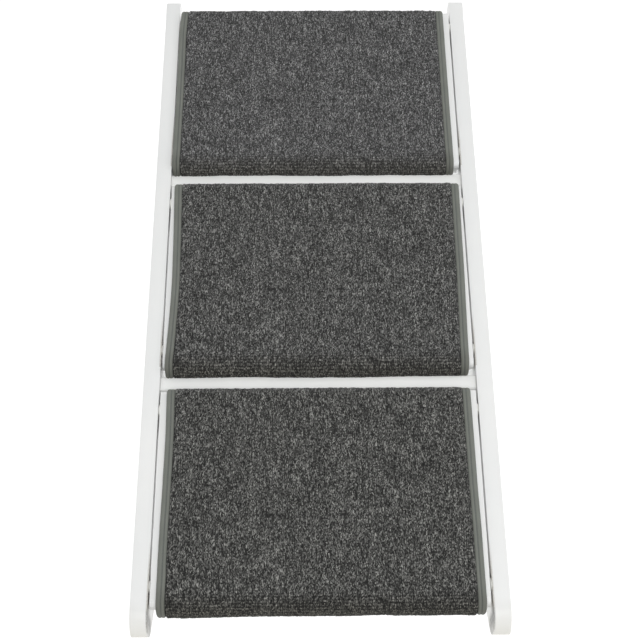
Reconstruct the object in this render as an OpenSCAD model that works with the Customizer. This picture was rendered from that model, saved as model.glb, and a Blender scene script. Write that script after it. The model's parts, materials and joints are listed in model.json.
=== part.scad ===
// Two-in-one pet ramp: three carpeted treads lie flush between two side rails as a ramp.
// Each tread lifts at its front to lie level as a step, and its folding riser then props it.
// A hinged leg frame carries the upper end and folds flat between the rails.
//
// World frame: +X across the ramp, +Y from the toe towards the high end, +Z up, floor at z = 0.
// Slope frame (on_slope): +Y runs up the ramp, +Z is square to it, and z = 0 is the rails' top edge.

/* [Side rails] */
// Slope of the ramp, degrees
slope = 33; // [30:0.5:35]
// Overall width over the side rails
width = 400; // [370:1:440]
// Thickness of the rails, crossbars and leg frame boards
rail_t = 18.5; // [16:0.5:20]
// Height of a side rail, square to the slope
rail_h = 80; // [78:1:95]
// Radius of the rounded toe of a rail
toe_r = 23; // [18:0.5:26]
// Radius of the corners at the high end of a rail
end_r = 8; // [4:0.5:12]
// Rail length that stands past the upper tread
rail_past = 24; // [22:1:40]

/* [Treads] */
// Length of a tread board along the slope
board_len = 250; // [242:1:256]
// Thickness of a tread board
board_t = 15; // [14:0.5:16]
// Gap between two tread boards along the slope
board_gap = 32; // [31.5:0.5:38]
// Slit between a tread board and a rail
side_slit = 2; // [1.8:0.1:4]
// Distance from the point where rail edge and floor meet to the lower board
first_board = 79; // [76:1:90]
// Thickness of the battens under a board
batten_t = 15; // [14:0.5:15.5]
// Width of the front batten
front_batten_w = 32; // [30:0.5:35]
// Width of the rear batten
rear_batten_w = 46; // [42:0.5:50]
// Set-back of the front batten from the board's front
front_batten_in = 9; // [8.5:0.5:10]

/* [Carpet] */
// Thickness of the carpet with its pile
carpet_t = 7.5; // [6.5:0.5:8]
// Thickness of the bound side edge
binding_t = 6; // [5:0.5:6.5]
// Width of the bound side edge
binding_w = 9; // [7:0.5:11]
// Bare margin of board beside the carpet
margin = 5.5; // [3:0.5:8]
// Carpet past the board's rear edge
carpet_past = 1.5; // [0.5:0.5:2]

/* [Crossbars] */
// Width of a crossbar along the slope
bar_w = 18; // [16:0.5:18.5]
// Height of a crossbar
bar_h = 28; // [24:1:30]
// Crossbar top below the rails' top edge
bar_drop = 8; // [6:0.5:9]
// Radius of a crossbar's upper front edge
bar_round = 5; // [4:0.5:6]
// Gap between a crossbar and the board above it
bar_clear = 8.5; // [8.5:0.5:10.5]

/* [Tread pivots and pegs] */
// Radius of the pivot bolts and pegs
bolt_r = 4; // [3.5:0.25:4.25]
// Distance of a pivot from the board's rear edge
pivot_in = 21; // [21:0.5:24]
// Distance of a peg from the board's front edge
peg_in = 24; // [20:0.5:28]
// Radius of the bolt heads
head_r = 7; // [6:0.25:8]
// Thickness of the bolt heads
head_t = 3; // [2.5:0.25:4]
// Radius of the spacers and peg collars in the slit
spacer_r = 7.5; // [6.5:0.25:8]
// Length of a bolt inside the board
bolt_in = 28; // [20:1:40]
// Length of a peg past the slit
peg_reach = 12; // [9:0.5:14]
// Depth of a peg inside its rail
peg_root = 12; // [9:0.5:14]

/* [Risers] */
// Thickness of a riser
riser_t = 12; // [10:0.5:12]
// Width of a riser
riser_w = 320; // [280:5:326]
// Forward lean of the lower riser when it stands on the floor, degrees
lean = 8; // [5:0.5:12]
// Depth of the V notch in the foot of the two other risers
notch_d = 6; // [5:0.25:7]
// Thickness of the rubber strip under the lower riser
strip_t = 2; // [1.5:0.25:3]
// Radius of the holding magnets
magnet_r = 6; // [5:0.25:8]
// Thickness of the holding magnets and their discs
magnet_t = 3; // [2.5:0.25:4]
// Distance of the magnets from the riser's hinge
magnet_at = 84; // [60:1:90]

/* [Riser hinges] */
// Length of a hinge
hinge_l = 50; // [40:1:60]
// Distance of a hinge from the middle
hinge_x = 110; // [60:1:120]
// Radius of a hinge barrel
barrel_r = 3; // [2.5:0.25:3]
// Radius of a hinge pin
hinge_pin_r = 1.5; // [1.25:0.05:1.6]
// Thickness of a hinge leaf
leaf_t = 1.5; // [1:0.1:1.6]
// Length of the leaf on the riser
riser_leaf = 22; // [16:1:26]

/* [Leg frame] */
// Width of a leg
leg_w = 36; // [30:1:37]
// Gap between a leg and its rail
leg_slit = 7; // [7:0.25:9]
// Backward rake of the legs, degrees
rake = 6; // [3:0.5:8]
// Distance of the leg pivot from the rail's high end
leg_end = 32; // [27:0.5:34]
// Depth of the leg pivot below the rail's top edge
leg_drop = 57; // [57:0.5:60]
// Height of the stretchers along the legs
stretcher_h = 40; // [30:1:50]
// Distance of the upper stretcher's middle from the leg pivot
upper_stretcher = 62; // [55:1:90]
// Distance of the lower stretcher's middle from the leg pivot
lower_stretcher = 345; // [280:5:370]
// Thickness of the pads under legs and rails
pad_t = 1.5; // [1:0.25:3]
// Inset of a pad from the wood's edge
pad_in = 2; // [1:0.5:4]

/* [Stays] */
// Distance of a stay's rivet from the leg pivot
stay_at = 200; // [198:1:206]
// Distance of a stay pin down the slope from the leg pivot
stay_pin_back = 85; // [82:1:86]
// Height of a stay pin above the leg pivot, square to the slope
stay_pin_lift = 5; // [5:0.25:7]
// Width of a stay
stay_w = 16; // [14:0.5:16]
// Thickness of a stay
stay_t = 2; // [1.5:0.1:2.4]
// Gap between a stay and its rail
stay_off = 1.2; // [1:0.05:1.4]
// Turn of a folded stay past the line of its leg, degrees
stay_extra = 4; // [3.9:0.05:4.1]
// Radius of the rivet in a stay
rivet_r = 3; // [2.5:0.25:3.5]
// Radius of the pin that a stay hooks over
stay_pin_r = 4; // [3.5:0.25:4]

/* [Fits] */
// Radial clearance of a turning pin
fit = 0.05; // [0.03:0.01:0.09]
// Clearance between parts that rest or pass close by
ease = 0.3; // [0.2:0.05:0.4]

/* [Hidden] */
$fn = 48;

// Which tread a part belongs to
LOWER = 0;
MIDDLE = 1;
UPPER = 2;

white_paint = [0.93, 0.93, 0.92];
carpet_grey = [0.32, 0.33, 0.33];
tape_grey = [0.44, 0.46, 0.44];
steel_grey = [0.68, 0.69, 0.70];
nylon_white = [0.88, 0.88, 0.85];
rubber_grey = [0.30, 0.30, 0.30];

// Rails
inside = width / 2 - rail_t;           // half the clear width between the rails
half_board = inside - side_slit;       // half a tread board's width
half_binding = half_board - margin;    // outer edge of the carpet's binding
half_field = half_binding - binding_w; // outer edge of the carpet's field
pitch = board_len + board_gap;
rail_len = first_board + 2 * pitch + board_len + rail_past;
toe_tangent = toe_r / tan(slope / 2);  // from the sharp toe point to where its rounding starts
head_hole_r = head_r + ease;
head_hole_d = head_t + ease;

// Treads, in a tread's own frame: y = 0 at the board's front edge
over = 1;                              // how far a cut runs past what it cuts
nose_r = board_t / 2;
pivot = [board_len - pivot_in, -board_t / 2];
peg_z = -board_t / 2;
front_batten_end = front_batten_in + front_batten_w;
batten_low = -board_t - batten_t;
carpet_edge_r = 3;
carpet_gap = 0.1;                      // glue line round the nosing

// Risers: the hinge axis lies at the lower rear corner of the front batten
hinge = [front_batten_end + barrel_r, batten_low];
riser_low = batten_low + leaf_t;       // lower face of a folded riser
riser_start = barrel_r + over;         // from the hinge axis to the riser's end
riser_mid = leaf_t + riser_t / 2;      // from the hinge axis to the riser's middle plane
magnet_proud = -board_t - (riser_low + riser_t) - ease;
magnet_x = riser_w / 4;

// With its tread level, the foot of a riser sits over the crossbar's upper edge
bar_up = pivot[0] + bar_clear;
bar_over = -bar_drop - pivot[1];
edge_from_pivot = [-bar_up * cos(slope) - bar_over * sin(slope),
                   -bar_up * sin(slope) + bar_over * cos(slope)];
foot = edge_from_pivot - (hinge - pivot);
foot_r = norm(foot) - ease;
foot_along = sqrt(foot_r * foot_r - riser_mid * riser_mid);
riser_open = atan2(-foot[1], foot[0]) + asin(riser_mid / norm(foot));
notch_turn = riser_open - 180 + slope;
notched_len = foot_along + notch_d;

// The lower riser stands on the floor instead
lower_pivot_z = pad_t + (first_board + pivot[0]) * sin(slope) + pivot[1] * cos(slope);
floor_foot_r = (lower_pivot_z + hinge[1] - pivot[1] - strip_t) / cos(lean);
floor_along = sqrt(floor_foot_r * floor_foot_r - riser_mid * riser_mid);
lower_open = 90 + lean + asin(riser_mid / floor_foot_r);
floor_turn = lower_open - 180;

// Leg frame
leg_pivot = [rail_len - leg_end, -leg_drop];
leg_pivot_rise = pad_t + leg_pivot[0] * sin(slope) + leg_pivot[1] * cos(slope);
leg_pivot_run = leg_pivot[0] * cos(slope) - leg_pivot[1] * sin(slope);
leg_x = inside - leg_slit;             // outer face of a leg
leg_len = (leg_pivot_rise - pad_t) / cos(rake);
leg_fold = 90 - slope + rake;
foot_run = leg_pivot_run + (leg_pivot_rise - pad_t) * tan(rake);
foot_half = leg_w / 2 / cos(rake);

// Centre of the plan: from the lower nosing or the toe to the back of the feet
nosing_run = (first_board + nose_r) * cos(slope) + nose_r * sin(slope) - nose_r - carpet_t;
front_run = min(nosing_run, toe_tangent - toe_r);
back_run = foot_run + foot_half;
toe_y = -(front_run + back_run) / 2;

// Stays, as points [y, z] of the world frame
function world(p) = [toe_y + p[0] * cos(slope) - p[1] * sin(slope),
                     pad_t + p[0] * sin(slope) + p[1] * cos(slope)];
leg_pivot_at = world(leg_pivot);
stay_pin = leg_pivot + [-stay_pin_back, stay_pin_lift];
stay_pin_at = world(stay_pin);
rivet_at = leg_pivot_at + stay_at * [sin(rake), -cos(rake)];
stay_span = stay_pin_at - rivet_at;
stay_len = norm(stay_span);
stay_turn = atan2(stay_span[1], stay_span[0]);
stay_fold = stay_turn - 90 - rake + stay_extra;
stay_inner = inside - stay_off - stay_t; // inner face of a stay

// The slot in a stay's hook points the way its pin leaves it as the legs start to fold
function turned(v, a) = [v[0] * cos(a) - v[1] * sin(a), v[0] * sin(a) + v[1] * cos(a)];
unhook = 6;                            // fold of the legs at which a stay is off its pin, degrees
unhook_rivet = leg_pivot_at + turned(rivet_at - leg_pivot_at, -unhook);
pin_leaves = turned(stay_pin_at - unhook_rivet, unhook * (1 + stay_fold / leg_fold)) - stay_span;
slot_turn = atan2(pin_leaves[1], pin_leaves[0]) - stay_turn;
slot_ease = 0.6;                       // clearance of the pin in the hook's slot

echo(world_pivots = [for (k = [0:2]) world(pivot + [first_board + k * pitch, 0])]);
echo(world_hinges = [for (k = [0:2]) world(hinge + [first_board + k * pitch, 0])]);
echo(leg_pivot = leg_pivot_at, rivet = rivet_at, stay_pin = stay_pin_at, leg_fold = leg_fold);
echo(stay_fold = stay_fold, ratio = stay_fold / leg_fold);
echo(riser_open = riser_open, lower_open = lower_open, toe_y = toe_y, foot_y = toe_y + foot_run);

// Frames
module on_slope() translate([0, toe_y, pad_t]) rotate([slope, 0, 0]) children();
module on_tread(k) on_slope() translate([0, first_board + k * pitch, 0]) children();
module on_hinge(k) on_tread(k) translate([0, hinge[0], hinge[1]]) children();
module on_legs() translate([0, leg_pivot_at[0], leg_pivot_at[1]]) rotate([rake, 0, 0]) children();

// Both sides of the ramp
module both_sides() {
  children();
  mirror([1, 0, 0]) children();
}

// A flat outline in the Y-Z plane, from x0 to x1
module slab(x0, x1) translate([x0, 0, 0]) rotate([90, 0, 90]) linear_extrude(x1 - x0) children();

// A round bar along X through the point [y, z]
module rod(p, r, x0, x1) translate([x0, p[0], p[1]]) rotate([0, 90, 0]) cylinder(h = x1 - x0, r = r);

// What a corner loses when it is rounded, reaching past the corner: corner, tangent points, arc centre
module corner_waste(tip, from, centre, to, r) difference() {
  polygon([tip + (tip - centre) / 4, from, centre, to]);
  translate(centre) circle(r);
}

// Side rails
module rail_outline() difference() {
  polygon([[0, 0], [rail_len, 0], [rail_len, -rail_h], [rail_h / tan(slope), -rail_h]]);
  corner_waste([0, 0], [toe_tangent, 0], [toe_tangent, -toe_r],
               toe_tangent * [cos(slope), -sin(slope)], toe_r);
  corner_waste([rail_len, 0], [rail_len, -end_r], [rail_len - end_r, -end_r],
               [rail_len - end_r, 0], end_r);
  corner_waste([rail_len, -rail_h], [rail_len - end_r, -rail_h],
               [rail_len - end_r, end_r - rail_h], [rail_len, end_r - rail_h], end_r);
}
module bolt_hole(p) {
  rod(p, bolt_r + fit, inside - over, width / 2 + over);
  rod(p, head_hole_r, width / 2 - head_hole_d, width / 2 + over);
}
module right_rail() color(white_paint) on_slope() difference() {
  slab(inside, width / 2) rail_outline();
  for (k = [0:2]) {
    bolt_hole(pivot + [first_board + k * pitch, 0]);
    rod([first_board + k * pitch + peg_in, peg_z], bolt_r, inside - over, inside + peg_root);
  }
  bolt_hole(leg_pivot);
  rod(stay_pin, stay_pin_r, inside - over, inside + peg_root);
  for (k = [0:1]) screw_holes(k);
}
module rail_right() right_rail();
module rail_left() mirror([1, 0, 0]) right_rail();

// Crossbars, one in each gap between the boards, and the screws that hold them
screw_r = 2.5;
screw_head_r = 4.5;
screw_head_t = 2.5;
screw_in = 35;
function bar_mid(k) = first_board + (k + 1) * pitch - bar_clear - bar_w / 2;
function screw_at(k, side) = [bar_mid(k), -bar_drop - bar_h / 2 + side * bar_h / 4];
module bar_screw(k, side) {
  rod(screw_at(k, side), screw_r, inside - screw_in, width / 2 - over);
  rod(screw_at(k, side), screw_head_r, width / 2 - screw_head_t, width / 2);
}
module screw_holes(k) for (side = [-1, 1]) {
  bar_screw(k, side);
  rod(screw_at(k, side), screw_head_r, width / 2 - screw_head_t, width / 2 + over);
}
module crossbar(k) color(white_paint) on_slope() difference() {
  slab(-inside, inside) translate([bar_mid(k) - bar_w / 2, -bar_drop]) difference() {
    translate([0, -bar_h]) square([bar_w, bar_h]);
    corner_waste([0, 0], [bar_round, 0], [bar_round, -bar_round], [0, -bar_round], bar_round);
  }
  both_sides() screw_holes(k);
}
module crossbar_lower() crossbar(LOWER);
module crossbar_upper() crossbar(MIDDLE);
module crossbar_screws() color(steel_grey) on_slope() both_sides()
  for (k = [0:1], side = [-1, 1]) bar_screw(k, side);

// Collared pegs in the rails that the treads' front slots drop over
collar_t = side_slit - 2 * ease;
module stop_pegs() color(nylon_white) on_slope() both_sides() for (k = [0:2]) {
  at = [first_board + k * pitch + peg_in, peg_z];
  rod(at, bolt_r, inside - side_slit - peg_reach, inside + peg_root);
  rod(at, spacer_r, inside - collar_t, inside);
}

// Headed pins that the stays hook over
pin_lip = 2;                           // reach of the pin's head past its shank
pin_head_t = 1.5;
module stay_pins() color(steel_grey) on_slope() both_sides() {
  rod(stay_pin, stay_pin_r, stay_inner - ease, inside + peg_root);
  rod(stay_pin, stay_pin_r + pin_lip, stay_inner - ease - pin_head_t, stay_inner - ease);
}

// Pads under the flat of each rail's toe
module toe_pads() color(rubber_grey) both_sides()
  translate([inside + pad_in, toe_y + toe_tangent + pad_in, 0])
    cube([rail_t - 2 * pad_in, rail_h / sin(slope) - toe_tangent - 2 * pad_in, pad_t]);

// Tread board with a rounded nose, pivot holes and slots for the pegs. The slots widen towards
// the pivot at their mouth, because the front of the tread rises along an arc.
slot_flare = 1.5;
module peg_slot() {
  half_slot = bolt_r + ease;
  slab(half_board - peg_reach - ease, half_board + over) {
    translate([peg_in, peg_z]) circle(half_slot);
    polygon([[peg_in - half_slot, peg_z], [peg_in - half_slot, batten_low - over],
             [peg_in + half_slot + slot_flare, batten_low - over], [peg_in + half_slot, peg_z]]);
  }
}
module magnet_places() for (x = [-magnet_x, magnet_x])
  translate([x, hinge[0] + magnet_at, 0]) children();
module board(k) color(white_paint) on_tread(k) difference() {
  slab(-half_board, half_board) {
    translate([nose_r, -board_t]) square([board_len - nose_r, board_t]);
    translate([nose_r, -nose_r]) circle(nose_r);
  }
  both_sides() {
    rod(pivot, bolt_r, half_board - bolt_in, half_board + over);
    peg_slot();
  }
  magnet_places() translate([0, 0, -board_t - over])
    cylinder(h = over + magnet_t - magnet_proud, r = magnet_r);
}
module front_batten(k) color(white_paint) on_tread(k) difference() {
  translate([-half_board, front_batten_in, batten_low])
    cube([2 * half_board, front_batten_w, batten_t]);
  both_sides() peg_slot();
}
module rear_batten(k) color(white_paint) on_tread(k)
  translate([-half_board, board_len - rear_batten_w, batten_low])
    cube([2 * half_board, rear_batten_w, batten_t]);
module magnets(k) color(steel_grey) on_tread(k) magnet_places()
  translate([0, 0, -board_t - magnet_proud]) cylinder(h = magnet_t, r = magnet_r);

// Carpet: a layer of thickness t over the board, round its nose and back to the front batten
module wrap(t) {
  past = board_len + carpet_past;
  translate([nose_r, 0]) square([past - carpet_edge_r - nose_r, t]);
  translate([past - carpet_edge_r - over, 0]) square([carpet_edge_r + over, t - carpet_edge_r]);
  translate([past - carpet_edge_r, t - carpet_edge_r]) circle(carpet_edge_r);
  translate([nose_r, -nose_r]) difference() {
    circle(nose_r + t);
    circle(nose_r + carpet_gap);
    translate([0, -board_len]) square([board_len, 2 * board_len]);
  }
  translate([nose_r, -board_t - t]) square([front_batten_in - nose_r, t]);
}
module carpet(k) color(carpet_grey) on_tread(k) slab(-half_field, half_field) wrap(carpet_t);
module binding(k) color(tape_grey) on_tread(k) both_sides()
  slab(half_field, half_binding) wrap(binding_t);

// Pivot bolts turn in the rails and are fixed in the board; spacers keep the slit
module pivot_bolt(p, x_in) {
  rod(p, bolt_r, x_in, width / 2 - over);
  rod(p, head_r, width / 2 - head_t, width / 2);
}
module pivot_bolts(k) color(steel_grey) on_tread(k) both_sides()
  pivot_bolt(pivot, half_board - bolt_in);
module spacers(k) color(nylon_white) on_tread(k) both_sides() difference() {
  rod(pivot, spacer_r, half_board, inside - ease);
  rod(pivot, bolt_r, half_board - over, inside + over);
}

// Riser hinges. In on_hinge the axis is the X axis.
knuckle = hinge_l / 3;
hinge_play = 0.2;
module hinge_places() for (x = [-hinge_x, hinge_x]) translate([x, 0, 0]) children();
module barrel_piece(x0, x1) difference() {
  rod([0, 0], barrel_r, x0, x1);
  rod([0, 0], hinge_pin_r + fit, x0 - over, x1 + over);
}
leaf_short = 2;                        // from a leaf's end to the board
module board_leaf() {
  leaf_h = batten_t - leaf_short;
  swing = barrel_r + ease;
  for (side = [-1, 1]) {
    x0 = side < 0 ? -hinge_l / 2 : knuckle / 2 + hinge_play;
    x1 = side < 0 ? -knuckle / 2 - hinge_play : hinge_l / 2;
    barrel_piece(x0, x1);
    difference() {
      translate([x0, -barrel_r, 0]) cube([x1 - x0, leaf_t, swing + over]);
      rod([0, 0], hinge_pin_r + fit, x0 - over, x1 + over);
    }
  }
  translate([-hinge_l / 2, -barrel_r, swing]) cube([hinge_l, leaf_t, leaf_h - swing]);
}
module riser_leaf_plate() {
  swing = barrel_r + ease;
  x1 = knuckle / 2;
  barrel_piece(-x1, x1);
  difference() {
    translate([-x1, 0, 0]) cube([2 * x1, swing + over, leaf_t]);
    rod([0, 0], hinge_pin_r + fit, -x1 - over, x1 + over);
  }
  translate([-hinge_l / 2, swing, 0]) cube([hinge_l, riser_leaf - swing, leaf_t]);
}
module board_leaves(k) color(steel_grey) on_hinge(k) hinge_places() board_leaf();
module riser_leaves(k) color(steel_grey) on_hinge(k) hinge_places() riser_leaf_plate();
module hinge_pins(k) color(steel_grey) on_hinge(k) hinge_places()
  rod([0, 0], hinge_pin_r, -hinge_l / 2, hinge_l / 2);

// Risers, folded: flat under the board with their feet towards the rear
module disc_places() for (x = [-magnet_x, magnet_x])
  translate([x, magnet_at, leaf_t + riser_t - magnet_t]) children();
module riser_outline(len) translate([riser_start, leaf_t]) square([len - riser_start, riser_t]);
module notched_outline() difference() {
  riser_outline(notched_len);
  translate([foot_along, riser_mid]) rotate(notch_turn) square(4 * riser_t);
}
module floor_cut(below) translate([floor_along, riser_mid]) rotate(floor_turn)
  translate([-2 * riser_t, below]) square([4 * riser_t, 4 * riser_t]);
module riser_body() difference() {
  slab(-riser_w / 2, riser_w / 2) children();
  disc_places() cylinder(h = magnet_t + over, r = magnet_r);
}
module notched_riser(k) color(white_paint) on_hinge(k) riser_body() notched_outline();
module lower_riser() color(white_paint) on_hinge(LOWER) riser_body() difference() {
  riser_outline(floor_along + riser_t);
  floor_cut(0);
}
module lower_riser_strip() color(rubber_grey) on_hinge(LOWER) slab(-riser_w / 2, riser_w / 2)
  difference() {
    intersection() {
      riser_outline(floor_along + riser_t);
      floor_cut(0);
    }
    floor_cut(strip_t);
  }
module riser_discs(k) color(steel_grey) on_hinge(k) disc_places() cylinder(h = magnet_t, r = magnet_r);

// Leg frame. In on_legs a leg runs down from its pivot along -Z.
module leg_outline() difference() {
  union() {
    circle(leg_w / 2);
    translate([-leg_w / 2, -leg_len - leg_w]) square([leg_w, leg_len + leg_w]);
  }
  rotate(-rake) translate([-2 * leg_len, pad_t - leg_pivot_rise - 2 * leg_w])
    square([4 * leg_len, 2 * leg_w]);
}
module right_leg() color(white_paint) on_legs() difference() {
  slab(leg_x - rail_t, leg_x) leg_outline();
  rod([0, 0], bolt_r, leg_x - rail_t - over, leg_x + over);
  rod([0, -stay_at], rivet_r, leg_x - rivet_root, leg_x + over);
}
module leg_right() right_leg();
module leg_left() mirror([1, 0, 0]) right_leg();
module stretcher(at) color(white_paint) on_legs()
  translate([rail_t - leg_x, -rail_t / 2, -at - stretcher_h / 2])
    cube([2 * (leg_x - rail_t), rail_t, stretcher_h]);
module leg_stretcher_upper() stretcher(upper_stretcher);
module leg_stretcher_lower() stretcher(lower_stretcher);
module leg_bolts() color(steel_grey) on_legs() both_sides() pivot_bolt([0, 0], leg_x - rail_t);
module leg_spacers() color(nylon_white) on_legs() both_sides() difference() {
  rod([0, 0], spacer_r, leg_x, inside - ease);
  rod([0, 0], bolt_r, leg_x - over, inside + over);
}
module leg_pads() color(rubber_grey) both_sides()
  translate([leg_x - rail_t + pad_in, toe_y + foot_run - foot_half + pad_in, 0])
    cube([rail_t - 2 * pad_in, 2 * (foot_half - pad_in), pad_t]);

// Stays: flat bars on the legs that hook over the rails' pins
rivet_root = 12;
rivet_head_t = 0.7;
rivet_lip = 2;                         // reach of the rivet's head past its shank
washer_lip = 3;                        // reach of the washer between leg and stay
module stay_rivets() color(steel_grey) on_legs() both_sides() {
  head_at = stay_inner + stay_t + fit;
  rod([0, -stay_at], rivet_r, leg_x - rivet_root, head_at);
  rod([0, -stay_at], rivet_r + washer_lip, leg_x, stay_inner - fit);
  rod([0, -stay_at], rivet_r + rivet_lip, head_at, head_at + rivet_head_t);
}
module stay_outline() difference() {
  union() {
    circle(stay_w / 2);
    translate([0, -stay_w / 2]) square([stay_len, stay_w]);
    translate([stay_len, 0]) circle(stay_w / 2);
  }
  circle(rivet_r + fit);
  translate([stay_len, 0]) {
    circle(stay_pin_r + ease);
    rotate(slot_turn) translate([0, -stay_pin_r - slot_ease])
      square([2 * stay_w, 2 * (stay_pin_r + slot_ease)]);
  }
}
module right_stay() color(steel_grey) translate([0, rivet_at[0], rivet_at[1]])
  slab(stay_inner, stay_inner + stay_t) rotate(stay_turn) stay_outline();
module stay_right() right_stay();
module stay_left() mirror([1, 0, 0]) right_stay();

rail_left();
rail_right();
crossbar_lower();
crossbar_upper();
crossbar_screws();
stop_pegs();
stay_pins();
toe_pads();
board(LOWER);  // lower_board
front_batten(LOWER);  // lower_front_batten
rear_batten(LOWER);  // lower_rear_batten
carpet(LOWER);  // lower_carpet
binding(LOWER);  // lower_binding
pivot_bolts(LOWER);  // lower_pivot_bolts
spacers(LOWER);  // lower_spacers
board_leaves(LOWER);  // lower_board_leaves
magnets(LOWER);  // lower_magnets
board(MIDDLE);  // middle_board
front_batten(MIDDLE);  // middle_front_batten
rear_batten(MIDDLE);  // middle_rear_batten
carpet(MIDDLE);  // middle_carpet
binding(MIDDLE);  // middle_binding
pivot_bolts(MIDDLE);  // middle_pivot_bolts
spacers(MIDDLE);  // middle_spacers
board_leaves(MIDDLE);  // middle_board_leaves
magnets(MIDDLE);  // middle_magnets
board(UPPER);  // upper_board
front_batten(UPPER);  // upper_front_batten
rear_batten(UPPER);  // upper_rear_batten
carpet(UPPER);  // upper_carpet
binding(UPPER);  // upper_binding
pivot_bolts(UPPER);  // upper_pivot_bolts
spacers(UPPER);  // upper_spacers
board_leaves(UPPER);  // upper_board_leaves
magnets(UPPER);  // upper_magnets
lower_riser();
riser_leaves(LOWER);  // lower_riser_leaves
hinge_pins(LOWER);  // lower_hinge_pins
riser_discs(LOWER);  // lower_riser_discs
lower_riser_strip();
notched_riser(MIDDLE);  // middle_riser
riser_leaves(MIDDLE);  // middle_riser_leaves
hinge_pins(MIDDLE);  // middle_hinge_pins
riser_discs(MIDDLE);  // middle_riser_discs
notched_riser(UPPER);  // upper_riser
riser_leaves(UPPER);  // upper_riser_leaves
hinge_pins(UPPER);  // upper_hinge_pins
riser_discs(UPPER);  // upper_riser_discs
leg_left();
leg_right();
leg_stretcher_upper();
leg_stretcher_lower();
leg_bolts();
leg_spacers();
leg_pads();
stay_rivets();
stay_left();
stay_right();
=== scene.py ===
import json
import math
import bmesh
import bpy
import numpy as np
from mathutils import Matrix, Vector


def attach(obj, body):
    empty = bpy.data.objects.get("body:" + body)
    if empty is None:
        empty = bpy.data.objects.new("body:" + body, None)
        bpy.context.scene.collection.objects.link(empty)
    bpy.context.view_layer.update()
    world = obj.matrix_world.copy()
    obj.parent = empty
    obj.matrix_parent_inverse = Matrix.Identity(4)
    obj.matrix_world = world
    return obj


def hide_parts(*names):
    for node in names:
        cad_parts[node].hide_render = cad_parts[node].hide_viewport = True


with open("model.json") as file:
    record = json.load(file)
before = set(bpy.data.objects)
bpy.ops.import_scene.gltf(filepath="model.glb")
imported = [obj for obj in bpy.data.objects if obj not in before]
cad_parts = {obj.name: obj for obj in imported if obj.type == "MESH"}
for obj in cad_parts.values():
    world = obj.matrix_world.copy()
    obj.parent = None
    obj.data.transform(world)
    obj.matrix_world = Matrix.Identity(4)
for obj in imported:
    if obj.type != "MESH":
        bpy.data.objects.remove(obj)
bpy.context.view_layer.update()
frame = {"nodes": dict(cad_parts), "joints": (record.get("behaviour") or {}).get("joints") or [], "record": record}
nodes = frame["nodes"]
joint_at = {j["name"]: Vector(j["pos_m"]) for j in frame["joints"]}
body_of = {name: body for body, names in frame["record"]["behaviour"]["bodies"].items() for name in names}
MM = 0.001

# Ramp frame: x across, y up the slope, z square to it, with z = 0 at the rails' top edge.
# A tread's own frame is the same, with y = 0 at its board's front edge.
TREADS = ("lower", "middle", "upper")
RAIL_INSIDE = min(abs(v.co.x) for v in nodes["rail_left"].data.vertices)
RAIL_OUTSIDE = 200 * MM
BOARD_LEN, BOARD_T, HALF_BOARD = 250 * MM, 15 * MM, 179.5 * MM
NOSE_R = BOARD_T / 2
PIVOT = Vector((0, BOARD_LEN - 21 * MM, -NOSE_R))       # the bolts that a tread turns on
BATTEN_IN = 9 * MM                                      # the front batten, back from the board's front edge
HALF_BINDING, HALF_FIELD = 174 * MM, 164.2 * MM         # half the carpet's width, with and without its tapes
TAPE_WIDTH = 9.8                                        # a folded tape's width, in mm
climb = joint_at["upper_tread_lift"] - joint_at["lower_tread_lift"]
SLOPE = math.atan2(climb.z, climb.y)
MIRROR = Matrix.Scale(-1, 4, (1, 0, 0))


def climb_of(point):
    """A point's place with y up the slope and z square to it."""
    return Matrix.Rotation(-SLOPE, 3, "X") @ Vector(point)


def tread_frame(k):
    """Where a tread's own frame lies."""
    at = joint_at[TREADS[k] + "_tread_lift"]
    return Matrix.Translation(at) @ Matrix.Rotation(SLOPE, 4, "X") @ Matrix.Translation(-PIVOT)


def rising(value, start, length):
    """0 up to the start, then rising evenly to 1 over the length."""
    return np.clip((value - start) / length, 0, 1)


def eased(t):
    """0 to 1 with a soft start and a soft end."""
    return t * t * (3 - 2 * t)


# ---------------------------------------------------------------- modelling helpers

SAME_POINT = 2e-6                   # m, corners of the CAD mesh that are one
NEARLY = 1e-6                       # m, slack where a place is compared
FLAT, SHARP = math.radians(0.6), math.radians(28)
FINE_SHARE = 0.25                   # of the full width, where an edge is eased less


def alone(obj):
    """Selects one piece and makes it the active one."""
    bpy.ops.object.select_all(action="DESELECT")
    obj.select_set(True)
    bpy.context.view_layer.objects.active = obj


def settle(obj, place=None):
    """Moves a piece's place into its mesh."""
    if place is not None:
        obj.matrix_world = place @ obj.matrix_world
    bpy.context.view_layer.update()
    alone(obj)
    bpy.ops.object.transform_apply(location=True, rotation=True, scale=True)
    return obj


def apply_modifier(obj, kind, **values):
    mod = obj.modifiers.new(kind.lower(), kind)
    for key, value in values.items():
        setattr(mod, key, value)
    alone(obj)
    bpy.ops.object.modifier_apply(modifier=mod.name)


def pick(obj, test, kind="faces"):
    """In edit mode, selects the faces or edges that pass a test."""
    bpy.ops.object.mode_set(mode="OBJECT")
    mesh = obj.data
    for part in (mesh.vertices, mesh.edges, mesh.polygons):
        part.foreach_set("select", [False] * len(part))
    if kind == "faces":
        for f in mesh.polygons:
            f.select = bool(test(f.center, f.normal))
    else:
        for e in mesh.edges:
            a, b = (mesh.vertices[i].co for i in e.vertices)
            e.select = bool(test(a, b))
    bpy.ops.object.mode_set(mode="EDIT")
    bpy.ops.mesh.select_mode(type="FACE" if kind == "faces" else "EDGE")


def facing_out(centre, normal):
    """Picks an end face of a turned piece on the +X side."""
    return normal.x > 0.9


def facing_in(centre, normal):
    """Picks an end face of a turned piece on the -X side."""
    return normal.x < -0.9


def edit(obj):
    """Starts edit mode on one piece."""
    alone(obj)
    bpy.ops.object.mode_set(mode="EDIT")


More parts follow.
